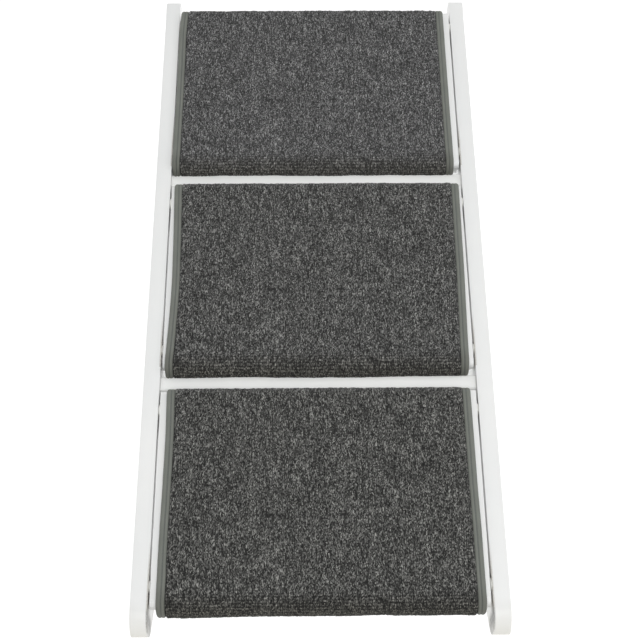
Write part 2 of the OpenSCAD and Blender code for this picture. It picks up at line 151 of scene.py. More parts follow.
def done(obj, angle=35):
    """Ends edit mode and shades smooth all edges flatter than an angle in degrees."""
    bpy.ops.object.mode_set(mode="OBJECT")
    alone(obj)
    bpy.ops.object.shade_smooth_by_angle(angle=math.radians(angle))
    return obj


def rod(name, radius, x0, x1, vertices):
    """A round bar along X."""
    bpy.ops.object.select_all(action="DESELECT")
    bpy.ops.mesh.primitive_cylinder_add(vertices=vertices, radius=radius, depth=abs(x1 - x0),
                                        location=((x0 + x1) / 2, 0, 0), rotation=(0, math.pi / 2, 0))
    obj = bpy.context.object
    obj.name = obj.data.name = name
    return settle(obj)


def cut(obj, tool):
    """Takes a tool's shape out of a piece, and the tool away."""
    apply_modifier(obj, "BOOLEAN", operation="DIFFERENCE", object=tool, solver="EXACT")
    bpy.data.objects.remove(tool)


def copied(obj, name, place):
    """A copy of a piece at a place. A mirrored copy gets its faces turned right side out again."""
    twin = bpy.data.objects.new(name, obj.data.copy())
    bpy.context.scene.collection.objects.link(twin)
    settle(twin, place)
    if place.determinant() < 0:
        edit(twin)
        bpy.ops.mesh.select_all(action="SELECT")
        bpy.ops.mesh.normals_make_consistent(inside=False)
        bpy.ops.object.mode_set(mode="OBJECT")
    return twin


def joined(parts, name):
    """Several meshes as one piece."""
    bpy.ops.object.select_all(action="DESELECT")
    for p in parts:
        p.select_set(True)
    bpy.context.view_layer.objects.active = parts[0]
    bpy.ops.object.join()
    parts[0].name = parts[0].data.name = name
    return parts[0]


def finish_piece(obj, material, body, slot, *stands_for):
    """Gives a piece its material and its body, and hides the CAD nodes that it takes the place of. The slot is not
    used.
    """
    obj.data.materials.clear()
    obj.data.materials.append(material)
    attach(obj, body)
    if stands_for:
        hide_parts(*stands_for)
    return obj


def softened(node, width, segments=3, fine=None):
    """A copy of a CAD node with its edges eased. fine(a, b) marks edges that get a quarter of the width."""
    obj = bpy.data.objects.new(node + ".soft", nodes[node].data.copy())
    bpy.context.scene.collection.objects.link(obj)
    obj.data.materials.clear()
    edit(obj)
    bpy.ops.mesh.select_all(action="SELECT")
    bpy.ops.mesh.remove_doubles(threshold=SAME_POINT)
    bpy.ops.mesh.dissolve_limited(angle_limit=FLAT)
    bpy.ops.object.mode_set(mode="OBJECT")
    mesh = obj.data
    bm = bmesh.new()
    bm.from_mesh(mesh)
    layers = bm.edges.layers.float
    weight = layers.get("bevel_weight_edge") or layers.new("bevel_weight_edge")
    for e in bm.edges:
        sharp = len(e.link_faces) == 2 and e.calc_face_angle(0) > SHARP
        a, b = (v.co for v in e.verts)
        e[weight] = 0 if not sharp else FINE_SHARE if fine and fine(a, b) else 1
    bm.to_mesh(mesh)
    bm.free()
    for slot_name in ("face", "arris"):
        mesh.materials.append(bpy.data.materials.get(slot_name) or bpy.data.materials.new(slot_name))
    apply_modifier(obj, "BEVEL", limit_method="WEIGHT", width=width, segments=segments, material=1,
                   use_clamp_overlap=True, harden_normals=False, loop_slide=True)
    return done(obj, 40)


# ---------------------------------------------------------------- materials

# The folded tape across, in mm: from its inner foot over the top to its outer foot, with the seam's groove
GROOVE = (4.0, 5.8)
TAPE_OUTLINE = [(0.0, 0.3), (0.0, 5.0), (0.3, 5.8), (1.4, 6.3), (3.0, 6.35), (3.7, 6.05), GROOVE, (4.3, 6.05),
                (5.1, 6.4), (6.9, 6.3), (8.3, 5.6), (9.2, 4.4), (9.7, 2.6), (TAPE_WIDTH, 0.9), (9.7, 0.3)]
TAPE_REACH = [0.0]                  # the way along the outline to each of its points
for a, b in zip(TAPE_OUTLINE, TAPE_OUTLINE[1:]):
    TAPE_REACH.append(TAPE_REACH[-1] + math.dist(a, b) * MM)
SEAM = TAPE_REACH[TAPE_OUTLINE.index(GROOVE)]

# Each paint's duller and cleaner tone (the crossbars' lighter one is painted light), and what wear, the painted
# shade near the floor and the painted shade on the rails' inner faces turn it towards
WHITE = (0.783, 0.793, 0.788), (0.828, 0.833, 0.823)
# A lighter white as painted light, making up for the shade that the noses and boards cast on the crossbars
LIGHTENED_WHITE = (0.90, 0.905, 0.89), (0.925, 0.93, 0.915)
WORN, FLOOR_SHADE = (0.70, 0.69, 0.655), (0.56, 0.54, 0.48)
# Tones of the painted shade on the rails' inner faces: beside the noses, and darker on the toe
NOSE_SIDE_SHADE, TOE_INNER_SHADE = (0.40, 0.375, 0.325), (0.09, 0.084, 0.072)


def grey(level):
    return (level, level, level)


def new_group(name, inputs, outputs):
    """A node group with its sockets, and its two end nodes."""
    tree = bpy.data.node_groups.new(name, "ShaderNodeTree")
    for label, kind, value in inputs:
        socket = tree.interface.new_socket(name=label, in_out="INPUT", socket_type="NodeSocket" + kind)
        socket.default_value = value
    for label, kind in outputs:
        tree.interface.new_socket(name=label, in_out="OUTPUT", socket_type="NodeSocket" + kind)
    return tree, tree.nodes.new("NodeGroupInput"), tree.nodes.new("NodeGroupOutput")


class Nodes:
    """Short words for wiring a material's or group's nodes."""

    def __init__(self, tree):
        self.tree = tree

    def add(self, kind, values=None, **links):
        """A node with settings or input values by name, and with other nodes linked to its inputs."""
        node = self.tree.nodes.new("ShaderNode" + kind)
        for key, value in (values or {}).items():
            if hasattr(node, key):
                setattr(node, key, value)
            else:
                node.inputs[key].default_value = value
        for key, source in links.items():
            self.link(source, node.inputs[key])
        return node

    def link(self, source, target):
        self.tree.links.new(source.outputs[0] if hasattr(source, "outputs") else source, target)

    def math(self, operation, a, b=0.0):
        node = self.tree.nodes.new("ShaderNodeMath")
        node.operation = operation
        for i, v in enumerate((a, b)):
            if isinstance(v, (int, float)):
                node.inputs[i].default_value = v
            else:
                self.link(v, node.inputs[i])
        return node.outputs[0]

    def times(self, a, b):
        return self.math("MULTIPLY", a, b)

    def plus(self, a, b):
        return self.math("ADD", a, b)

    def minus(self, a, b):
        return self.math("SUBTRACT", a, b)

    def mix(self, factor, a, b, blend="MIX"):
        node = self.tree.nodes.new("ShaderNodeMix")
        node.data_type, node.blend_type = "RGBA", blend
        for i, v in ((0, factor), (6, a), (7, b)):
            if isinstance(v, (int, float)):
                node.inputs[i].default_value = v
            elif isinstance(v, tuple):
                node.inputs[i].default_value = (*v, 1)
            else:
                self.link(v, node.inputs[i])
        return node.outputs[2]

    def span(self, value, low, high, out_low, out_high):
        """Takes low to high into out_low to out_high, and stays there past both ends."""
        node = self.tree.nodes.new("ShaderNodeMapRange")
        self.link(value, node.inputs[0])
        for i, v in enumerate((low, high, out_low, out_high), 1):
            node.inputs[i].default_value = v
        return node.outputs[0]

    def spread(self, noise, out_low, out_high):
        """A noise's middle range, where nearly all of it lies, spread over a range."""
        return self.span(noise, 0.3, 0.7, out_low, out_high)

    def noise(self, vector, scale, detail):
        return self.add("TexNoise", {"Scale": scale, "Detail": detail}, Vector=vector)

    def stretched(self, vector, scale):
        return self.add("Mapping", {"Scale": scale}, Vector=vector)

    def axes(self, vector):
        """A vector's x, y and z."""
        return list(self.add("SeparateXYZ", Vector=vector).outputs)

    def attribute(self, name):
        return self.add("Attribute", {"attribute_name": name}).outputs["Fac"]

    def wave(self, at, pitch, shift=None):
        """A sine of a place, from -1 to 1 and back over each pitch."""
        turns = self.times(at, 2 * math.pi / pitch)
        return self.math("SINE", turns if shift is None else self.plus(turns, shift))


def in_place(n):
    """Places in the ramp's rest pose."""
    return n.add("TexCoord").outputs["Object"]


def in_ramp(n, scale=(1, 1, 1)):
    """Places with y up the slope and z square to it."""
    return n.add("Mapping", {"Scale": scale, "Rotation": (-SLOPE, 0, 0)}, Vector=in_place(n)).outputs[0]


def material(name, **sockets):
    mat = bpy.data.materials.new(name)
    mat.use_nodes = True
    shader = mat.node_tree.nodes["Principled BSDF"]
    for key, value in sockets.items():
        shader.inputs[key.replace("_", " ")].default_value = value
    return mat, Nodes(mat.node_tree), shader


# Fine skin of a sprayed or moulded surface: even grain with a slow unevenness under it
skin, skin_in, skin_out = new_group(
    "surface_skin", [("Vector", "Vector", (0, 0, 0)), ("Grain", "Float", 500), ("Cloud", "Float", 9)],
    [("Height", "Float"), ("Cloud", "Float")])
skin_nodes = Nodes(skin)
for i, values in enumerate(({"Detail": 3.0, "Roughness": 0.55}, {"Detail": 4.0, "Roughness": 0.6})):
    field = skin_nodes.add("TexNoise", values, Vector=skin_in.outputs[0], Scale=skin_in.outputs[i + 1])
    skin_nodes.link(field, skin_out.inputs[i])


def with_skin(n, grain, cloud):
    """A surface's fine grain and its slow unevenness."""
    node = n.tree.nodes.new("ShaderNodeGroup")
    node.node_tree = skin
    n.link(in_place(n), node.inputs[0])
    node.inputs[1].default_value, node.inputs[2].default_value = grain, cloud
    return node.outputs[0], node.outputs[1]


def bump(n, shader, height, strength, distance):
    node = n.add("Bump", {"Strength": strength, "Distance": distance}, Height=height)
    n.link(node, shader.inputs["Normal"])


def painted_rail_shade(n, grain):
    """Painted shade on the rails' inner faces, where shade falls between the rails and the treads: beside each
    nose near the top, and on the toe. Gives how strong the painted shade is, its tone, and where the face is an
    inner one."""
    from_middle = n.math("ABSOLUTE", n.axes(in_place(n))[0])
    inner = n.span(from_middle, RAIL_INSIDE + 0.3 * MM, RAIL_INSIDE + 2.0 * MM, 1, 0)
    _, up_slope, square = n.axes(in_ramp(n))
    noses = [climb_of(tread_frame(k).to_translation()) for k in range(2)]
    past = n.minus(up_slope, noses[0].y)
    deep = n.minus(noses[0].z, square)
    beside = n.math("MODULO", n.math("ABSOLUTE", past), noses[1].y - noses[0].y)
    near = n.span(beside, 38 * MM, 72 * MM, 1, 0)
    high = n.span(deep, 12 * MM, 24 * MM, 1, 0)
    # On the toe the painted shade goes deeper, starts below the nose and fades before the floor
    toe = n.times(n.span(past, -6 * MM, 2 * MM, 1, 0), n.span(deep, 34 * MM, 50 * MM, 1, 0))
    toe = n.times(toe, n.span(past, -36 * MM, -12 * MM, 0, 1))
    where = n.times(near, n.math("MAXIMUM", high, toe))
    amount = n.times(n.times(inner, where), n.spread(grain, 0.55, 0.95))
    return amount, n.mix(toe, NOSE_SIDE_SHADE, TOE_INNER_SHADE), inner


def painted_board(name, tones, inner_shaded=False):
    """Satin white lacquer, rolled along the boards, thinner on the eased edges, with painted shade near the floor.
    """
    mat, n, shader = material(name, Coat_Weight=0.12, Coat_Roughness=0.22)
    grain, cloud = with_skin(n, 520, 7)
    streak = n.noise(in_ramp(n, (1, 0.07, 1)), 240, 2)
    arris = n.attribute("arris")
    tone = n.mix(n.spread(cloud, 0, 1), *tones)
    tone = n.mix(n.times(arris, n.span(grain, 0.4, 0.7, 0.10, 0.45)), tone, WORN)
    # Painted shade near the floor, where the boards come down to it, uneven with the paint's cloud
    by_floor = n.span(n.axes(in_place(n))[2], 0, 50 * MM, 1, 0)
    floor_shade = n.times(by_floor, n.span(cloud, 0.35, 0.65, 0.8, 1.0))
    if inner_shaded:
        # Painted shade on the rails' inner faces, with less of the painted floor shade on them
        amount, inner_shade_tone, inner = painted_rail_shade(n, grain)
        tone = n.mix(n.times(floor_shade, n.span(inner, 0, 1, 1, 0.25)), tone, FLOOR_SHADE)
        tone = n.mix(amount, tone, inner_shade_tone)
    else:
        tone = n.mix(floor_shade, tone, FLOOR_SHADE)
    n.link(tone, shader.inputs["Base Color"])
    n.link(n.plus(n.spread(cloud, 0.36, 0.48), n.times(arris, 0.06)), shader.inputs["Roughness"])
    bump(n, shader, n.plus(n.times(grain, 0.6), n.times(streak, 0.4)), 0.16, 0.4 * MM)
    return mat


def loop_pile():
    """Heather loop pile. The cloth map is in metres: u across, v from the rear edge round the nose."""
    mat, n, shader = material("heather_loop_pile", Roughness=0.93, Sheen_Weight=0.04, Sheen_Roughness=0.6,
                              Specular_IOR_Level=0.2)
    uv = n.add("UVMap", {"uv_map": "cloth"}).outputs[0]
    across, along, _ = n.axes(uv)
    pile, bend, rows, light_and_tint = (n.attribute(a) for a in ("pile", "bend", "rows", "light_and_tint"))
    wobble = n.noise(uv, 260, 1).outputs["Color"]

    def cells(wide, long, seed):
        """Uneven cells of a size: each one's random shade, and the way from its middle."""
        size = {"Scale": (1 / wide, 1 / long, 1), "Location": (seed, seed * 0.37, 0)}
        warp = n.tree.nodes.new("ShaderNodeVectorMath")
        warp.operation = "MULTIPLY_ADD"
        n.link(wobble, warp.inputs[0])
        warp.inputs[1].default_value = (0.9, 0.9, 0)
        n.link(n.add("Mapping", size, Vector=uv), warp.inputs[2])
        cell = n.add("TexVoronoi", {"voronoi_dimensions": "2D", "Randomness": 0.85, "Scale": 1.0},
                     Vector=warp.outputs[0])
        return n.add("SeparateColor", Color=cell.outputs["Color"]).outputs[0], cell.outputs["Distance"]

    fleck, off_fleck = cells(0.80 * MM, 1.6 * MM, 3.1)
    yarn, _ = cells(1.7 * MM, 5.2 * MM, 17.3)
    streak, _ = cells(1.1 * MM, 11 * MM, 29.7)
    patch = n.noise(n.stretched(uv, (1, 0.6, 1)), 38, 3)
    light = n.plus(n.times(fleck, 0.69), n.times(yarn, 0.18))
    light = n.plus(light, n.plus(n.times(streak, 0.13), n.spread(patch, -0.025, 0.025)))

    # The gauge of the tufting shows as faint lines up the cloth, and its stitches as rows near the nose
    waver = n.times(n.noise(uv, 55, 2).outputs[0], 5.0)
    gauge = n.span(n.wave(across, 2.3 * MM, waver), 0.1, 0.95, 0, 1)
    row = n.times(n.span(n.wave(along, 3.6 * MM, waver), 0.1, 0.95, 0, 1), rows)
    light = n.minus(n.minus(light, n.times(gauge, 0.05)), n.times(row, 0.17))
    ramp = n.add("ValToRGB", Fac=light)
    stops = ((0.0, grey(0.009)), (0.34, grey(0.031)), (0.55, grey(0.100)), (0.74, grey(0.228)),
             (1.0, (0.60, 0.60, 0.59)))
    while len(ramp.color_ramp.elements) < len(stops):
        ramp.color_ramp.elements.new(0.5)
    for stop, (at, shade) in zip(ramp.color_ramp.elements, stops):
        stop.position, stop.color = at, (*shade, 1)

    # Painted shade down between the loops; painted light making the upper carpet lighter and calmer; lighter on
    # the frayed rear edge; and painted shade, a little browner, round the nose
    tone = n.mix(n.span(pile, 0.0, 0.55, 0.5, 0.0), ramp.outputs[0], grey(0.010))
    # Painted light: the upper carpet lighter and calmer, the lower one a little darker and warmer
    tone = n.mix(n.span(light_and_tint, 0, 1, 0.03, 0.16), tone, grey(0.105))
    tone = n.mix(1.0, tone, n.mix(light_and_tint, (0.84, 0.84, 0.80), grey(1.0)), "MULTIPLY")
    tone = n.mix(n.span(along, 0, 8 * MM, 0.27, 0), tone, grey(0.20))
    # Painted shade round the nose, a little browner, with less of it on the lighter upper carpet
    nose = n.mix(n.span(light_and_tint, 0, 0.3, 0, 1), (0.61, 0.59, 0.53), (0.80, 0.78, 0.71))
    tone = n.mix(bend, tone, nose, "MULTIPLY")
    n.link(tone, shader.inputs["Base Color"])
    fibre = n.noise(uv, 2600, 2)
    height = n.plus(n.times(n.minus(1.0, off_fleck), 0.8), n.times(fibre, 0.35))
    bump(n, shader, n.minus(height, n.times(row, 0.55)), 0.85, 1.2 * MM)
    return mat


def edge_tape():
    """Grey-green twill tape. The cloth map is in metres: u across the tape from its inner edge, v along."""
    mat, n, shader = material("grey_green_twill_tape", Roughness=0.78, Sheen_Weight=0.12, Sheen_Roughness=0.5)
    uv = n.add("UVMap", {"uv_map": "cloth"}).outputs[0]
    across, along, _ = n.axes(uv)
    rib = n.span(n.wave(n.plus(across, n.times(along, 0.7)), 0.9 * MM), -1, 1, 0, 1)
    off_seam = n.math("ABSOLUTE", n.minus(across, SEAM))
    seam = n.span(off_seam, 0.5 * MM, 1.4 * MM, 1, 0)
    stitch = n.span(n.wave(along, 3.6 * MM), -0.3, 0.5, 0, 1)
    thread = n.times(n.span(off_seam, 0.2 * MM, 0.4 * MM, 1, 0), stitch)
    cloud = n.noise(n.stretched(uv, (1, 0.4, 1)), 90, 3)
    tone = n.mix(n.spread(cloud, 0, 1), (0.152, 0.161, 0.142), (0.181, 0.190, 0.168))
    tone = n.mix(n.times(rib, 0.16), tone, (0.105, 0.118, 0.108))
    tone = n.mix(n.times(seam, 0.55), tone, (0.085, 0.093, 0.086))
    tone = n.mix(n.times(thread, 0.6), tone, (0.16, 0.175, 0.16))
    worn = n.times(n.attribute("bend"), n.spread(cloud, 0.75, 1.0))
    tone = n.mix(worn, tone, (0.58, 0.56, 0.52), "MULTIPLY")
    n.link(tone, shader.inputs["Base Color"])
    bump(n, shader, n.plus(n.times(rib, 0.35), n.times(thread, 0.8)), 0.35, 0.2 * MM)
    return mat


def moulded(name, dark, light, rough, grain=700):
    """Moulded plastic or rubber with a fine even skin."""
    mat, n, shader = material(name)
    fine, cloud = with_skin(n, grain, 60)
    n.link(n.mix(n.spread(cloud, 0, 1), dark, light), shader.inputs["Base Color"])
    n.link(n.spread(cloud, rough - 0.06, rough + 0.06), shader.inputs["Roughness"])
    bump(n, shader, fine, 0.18, 0.3 * MM)
    return mat


def plated(name, dark, light, rough):
    """Plated steel with a fine drawn grain and faint stains."""
    mat, n, shader = material(name, Metallic=1.0)
    grain, cloud = with_skin(n, 900, 45)
    drawn = n.noise(in_ramp(n, (1, 0.05, 0.05)), 700, 2)
    n.link(n.mix(n.spread(cloud, 0, 1), dark, light), shader.inputs["Base Color"])
    stain = n.span(cloud, 0.4, 0.75, 0, 0.12)
    n.link(n.plus(n.spread(drawn, rough - 0.07, rough + 0.07), stain), shader.inputs["Roughness"])
    bump(n, shader, n.plus(n.times(drawn, 0.7), n.times(grain, 0.3)), 0.12, 0.2 * MM)
    return mat


paint = painted_board("satin_white_paint", WHITE)
# The rails' paint carries painted shade on their inner faces
rail_paint = painted_board("inner_shaded_white_paint", WHITE, inner_shaded=True)
# The crossbars get the lighter white as painted light
bar_paint = painted_board("lightened_white_paint", LIGHTENED_WHITE)
pile_cloth = loop_pile()
tape_cloth = edge_tape()
nylon = moulded("white_nylon", (0.70, 0.70, 0.66), (0.78, 0.78, 0.745), 0.42)
rubber = moulded("grey_rubber", grey(0.055), grey(0.085), 0.80, 1100)
zinc = plated("zinc_plate", (0.55, 0.57, 0.59), (0.72, 0.73, 0.74), 0.30)
nickel = plated("nickel_plate", (0.62, 0.61, 0.60), (0.75, 0.74, 0.73), 0.18)

# ---------------------------------------------------------------- painted boards


def mark_arris(obj):
    """The bevelled faces carry arris = 1, for the wear on the eased edges."""
    flags = [1.0 if f.material_index == 1 else 0.0 for f in obj.data.polygons]
    layer = obj.data.attributes.new("arris", "FLOAT", "FACE")
    layer.data.foreach_set("value", flags)
    obj.data.polygons.foreach_set("material_index", [0] * len(flags))


def board_piece(node, width, coat=None, **easing):
    """A CAD board with edges eased by a width, in its paint."""
    obj = softened(node, width, **easing)
    obj.name = obj.data.name = node + "_painted"
    mark_arris(obj)
    return finish_piece(obj, coat or paint, body_of[node], "white_paint", node)


def short_edge(a, b):
    """The small facets of the CAD's rounds and holes."""
    return (a - b).length < 1.2 * MM


def butted_end(a, b):
    """The ends of a crossbar, which stand tight against the rails."""
    return abs(a.x - b.x) < 0.1 * MM and abs(a.x) > 150 * MM


for node in ("rail_left", "rail_right"):
    board_piece(node, 3.2 * MM, coat=rail_paint, segments=5, fine=short_edge)
for node in ("crossbar_lower", "crossbar_upper"):
    board_piece(node, 1.8 * MM, coat=bar_paint, fine=butted_end)
for tread in TREADS:
    board_piece(tread + "_board", 1.4 * MM, fine=short_edge)
    board_piece(tread + "_front_batten", 1.2 * MM, fine=short_edge)
    board_piece(tread + "_rear_batten", 1.2 * MM)
    board_piece(tread + "_riser", 1.4 * MM, fine=short_edge)
for node in ("leg_left", "leg_right"):
    board_piece(node, 2.0 * MM, fine=short_edge)
for node in ("leg_stretcher_upper", "leg_stretcher_lower"):
    board_piece(node, 1.8 * MM)

# ---------------------------------------------------------------- carpets

PILE, TAPE = 8.3 * MM, 6.0 * MM             # heights above the board
REAR = BOARD_LEN + 2.4 * MM                 # the carpet's rear edge, just past the board's
TOP_RUN = REAR - NOSE_R
WRAP_R = NOSE_R + PILE
UNDER_RUN = BATTEN_IN - NOSE_R - 0.3 * MM   # beneath the board, up to the front batten
CLOTH_RUN = TOP_RUN + math.pi * WRAP_R + UNDER_RUN
TAPE_START = REAR - 2.2 * MM                # the tapes end a little short of the carpet
TAPE_RUN = TAPE_START - NOSE_R
TAPE_UNDER = UNDER_RUN - 0.2 * MM
TOP_STEPS, NOSE_STEPS = 80, 20              # the tape's rings along the top and round the nose
# The outer corner of a tape's rear end is cut round: from here across in mm, over so many rings, this deep
CORNER_FROM, CORNER_RINGS, CORNER_DEEP = 6.0, 4, 3 * MM
# How a tape wanders: its sideways steps from ring to ring, the most that they add up to, and its rises
WANDER, WANDER_MOST, TAPE_RISE = 0.05 * MM, 0.35 * MM, 0.45 * MM
# How uneven the pile is: its loops, the slow swells and small lumps under them, and how much fuller it bends
LOOP_DEEP, SWELL, LUMP, BEND_FULLER = 1.35 * MM, 0.45 * MM, 0.5 * MM, 0.2 * MM
SIDE_DROP, SIDE_WIDE = 2.2 * MM, 2.6 * MM   # how far it falls off beside the tapes, and how near to them
# How full each carpet stands round its nose, mm, at eight places from left to right
NOSE_FULL = {"lower": (0.5, 0.7, 0.0, -0.6, -0.4, -0.7, -0.4, -0.3),
             "middle": (2.8, 1.9, 1.6, 2.7, 2.9, 2.1, 1.4, 1.2),
             "upper": (2.0, 1.1, 0.9, 1.7, 2.0, 1.4, 1.3, 1.7)}
REAR_SHORT = {"lower": 0.0, "middle": 0.2, "upper": 1.3}    # mm that each was cut short at its rear
TREAD_LIGHT_AND_TINT = {"lower": 0.0, "middle": 0.3, "upper": 1.0}       # painted light: the upper carpet a little lighter, the lower a little darker and warmer
# How each carpet was cut and laid: its left and right edges, mm from the middle, at points up the board
EDGES = {"lower": (((0, -172.7), (75, -173.0), (120, -172.1), (195, -171.4), (250, -172.6)),
                   ((0, 175.0), (90, 174.6), (130, 173.7), (250, 173.0))),
         "middle": (((0, -177.0), (60, -174.5), (110, -173.2), (180, -174.4), (250, -176.2)),
                    ((0, 174.1), (70, 175.2), (120, 176.1), (250, 176.8))),
         "upper": (((0, -180.9), (90, -180.3), (160, -180.5), (228, -180.8), (250, -178.8)),
                   ((0, 172.6), (120, 172.2), (250, 172.0)))}


def on_board(s, height):
    """The point at a height above the board, a way s along the carpet from its rear edge."""
    turn = np.clip((s - TOP_RUN) / WRAP_R, 0, math.pi)
    under = np.clip(s - TOP_RUN - math.pi * WRAP_R, 0, None)
    top = np.clip(s, 0, TOP_RUN)
    radius = NOSE_R + height
    y = np.where(s <= TOP_RUN, REAR - top, NOSE_R - radius * np.sin(turn) + under)
    z = np.where(s <= TOP_RUN, height, -NOSE_R + radius * np.cos(turn))
    return y, z


def loops(u, v, seed):
    """Height of the pile's loops, 0 to about 1, in staggered rows with uneven yarn."""
    rng = np.random.RandomState(seed)
    gauge, stitch = 2.4 * MM, 3.4 * MM
    across, along = 160, 120
    jitter = rng.uniform(-0.24, 0.24, (across, along, 2))
    size = rng.uniform(0.62, 1.12, (across, along))
    i0 = np.floor(u / gauge).astype(int)
    best = np.zeros_like(u)
    for di in (-1, 0, 1):
        i = i0 + di
        lift = 0.5 * (i % 2)
        j0 = np.floor(v / stitch - lift).astype(int)
        for dj in (-1, 0, 1):
            j = j0 + dj
            a, b = i % across, j % along
            cu = (i + 0.5 + jitter[a, b, 0]) * gauge
            cv = (j + 0.5 + lift + jitter[a, b, 1]) * stitch
            q = ((u - cu) / (0.66 * gauge)) ** 2 + ((v - cv) / (0.64 * stitch)) ** 2
            best = np.maximum(best, size[a, b] * np.sqrt(np.clip(1 - q, 0, None)))
    return best


def slow_waves(u, v, cell, seed):
    """A smooth random field, -1 to 1."""
    count = 64
    grid = np.random.RandomState(seed).uniform(-1, 1, (count, count))
    a, b = u / cell + 20, v / cell
    i, j = np.floor(a).astype(int), np.floor(b).astype(int)
    s, t = eased(a - i), eased(b - j)

    def along_edge(q):
        return grid[i % count, q % count] * (1 - s) + grid[(i + 1) % count, q % count] * s

    return along_edge(j) * (1 - t) + along_edge(j + 1) * t


def nose_fullness(k, x, s):
    """How much further out the cloth stands near and round the nose."""
    full = np.interp(x, np.linspace(-HALF_FIELD, HALF_FIELD, 8), NOSE_FULL[TREADS[k]]) * MM
    return full * eased(rising(s, TOP_RUN - 14 * MM, 20 * MM))


def pile_height(k, u, s, loop, bend):
    """The pile's height above the board. Its loops and lumps lie flatter where it bends round the nose."""
    height = PILE - 1.5 * MM + LOOP_DEEP * (1 - (1 - loop) * (1 - 0.5 * bend))
    height += SWELL * slow_waves(u, s, 16 * MM, 5 + k) + BEND_FULLER * bend
    height += LUMP * slow_waves(u, s, 3.2 * MM, 80 + k) * (1 - 0.6 * bend)
    from_side = HALF_FIELD - np.abs(u)
    height -= SIDE_DROP * np.clip(1 - from_side / SIDE_WIDE, 0, 1) ** 2
    height += nose_fullness(k, u, s)
    # It thins out at its front end and is rounded down to the board at its rear end
    height -= 1.0 * MM * rising(s, CLOTH_RUN - 4 * MM, 4 * MM)
    height *= np.sqrt(np.clip(1 - (1 - rising(s, 0, 3.2 * MM)) ** 2, 0.0, 1))
    return np.maximum(height, 0.25 * MM)


def close_beneath(obj, count):
    """The backing: the rim of the pile's first count points goes down to the board and is closed there."""
    edit(obj)
    bpy.ops.mesh.select_all(action="DESELECT")
    bpy.ops.mesh.select_mode(type="EDGE")
    bpy.ops.mesh.select_non_manifold()
    bpy.ops.mesh.extrude_region_move()
    bpy.ops.object.mode_set(mode="OBJECT")
    bm = bmesh.new()
    bm.from_mesh(obj.data)
    bm.verts.ensure_lookup_table()
    low_y, low_z, pile, u, s = (bm.verts.layers.float[a] for a in ("low_y", "low_z", "pile", "u", "s"))
    rim = bm.verts[count:]
    for v in rim:
        v.co.y, v.co.z, v[pile] = v[low_y], v[low_z], 0.0
    left = sorted((v for v in rim if v[u] < -HALF_FIELD + NEARLY), key=lambda v: v[s])
    right = sorted((v for v in rim if v[u] > HALF_FIELD - NEARLY), key=lambda v: v[s])
    rear = sorted((v for v in rim if v[s] < NEARLY), key=lambda v: v[u])
    front = sorted((v for v in rim if v[s] > CLOTH_RUN - NEARLY), key=lambda v: v[u])
    bm.faces.new(rear + [right[1], left[1]])
    for i in range(1, len(left) - 2):
        bm.faces.new([left[i], right[i], right[i + 1], left[i + 1]])
    bm.faces.new([left[-2], right[-2]] + front[::-1])
    bmesh.ops.recalc_face_normals(bm, faces=bm.faces)
    cloth = bm.loops.layers.uv.new("cloth")
    for f in bm.faces:
        for corner in f.loops:
            corner[cloth].uv = (corner.vert[u] + 0.2, corner.vert[s])
    bm.to_mesh(obj.data)
    bm.free()


def keep_cloth_map(mesh):
    """Leaves a mesh its cloth map alone."""
    for name in [layer.name for layer in mesh.uv_layers if layer.name != "cloth"]:
        mesh.uv_layers.remove(mesh.uv_layers[name])


def lay(obj, tread):
    """Draws a cloth piece out to the edges of its carpet, as it was cut and laid."""
    co = np.zeros(len(obj.data.vertices) * 3)
    obj.data.vertices.foreach_get("co", co)
    co = co.reshape(-1, 3)
    # Each edge is evened over 36 mm, and only the rear quarter is cut short
    ends = []
    for points in EDGES[tread]:
        up, out = np.array(points).T * MM
        ends.append(np.mean([np.interp(co[:, 1] + d * MM, up, out) for d in range(-18, 19, 6)], axis=0))
    part = (co[:, 0] + HALF_BINDING) / (2 * HALF_BINDING)
    co[:, 0] = ends[0] + part * (ends[1] - ends[0])
    co[:, 1] -= REAR_SHORT[tread] * MM * np.clip(co[:, 1] / REAR * 4 - 3, 0, 1)
    obj.data.vertices.foreach_set("co", co.ravel())
    obj.data.update()
    alone(obj)


